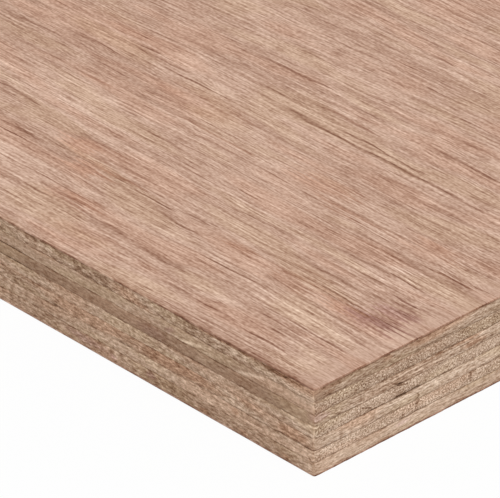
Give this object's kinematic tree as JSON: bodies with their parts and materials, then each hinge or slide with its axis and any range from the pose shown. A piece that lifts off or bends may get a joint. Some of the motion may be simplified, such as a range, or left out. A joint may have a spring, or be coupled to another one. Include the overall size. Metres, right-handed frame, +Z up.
{
  "type": "plywood sheet",
  "caption": "Flat rectangular sheet of hardwood-faced plywood: thin face and back veneers on cross-laid plies that show as bands along its sawn edges. Used as board stock.",
  "frame": {"origin": "centre of the underside, on the surface that the sheet lies on", "axes": "+X along the face grain and the sheet's length, +Y along its width, +Z up out of the face veneer"},
  "size_m": [1.22, 0.61, 0.018],
  "materials": {
    "face_wood": "sanded, unfinished",
    "back_wood": "sanded, unfinished",
    "crossband_wood": "sawn edge",
    "longband_wood": "sawn edge"
  },
  "bodies": {
    "root": {"back_veneer": "back_wood", "crossband_1": "crossband_wood", "longband_1": "longband_wood", "crossband_2": "crossband_wood", "longband_2": "longband_wood", "crossband_3": "crossband_wood", "longband_3": "longband_wood", "crossband_4": "crossband_wood", "face_veneer": "face_wood"}
  },
  "joints": []
}
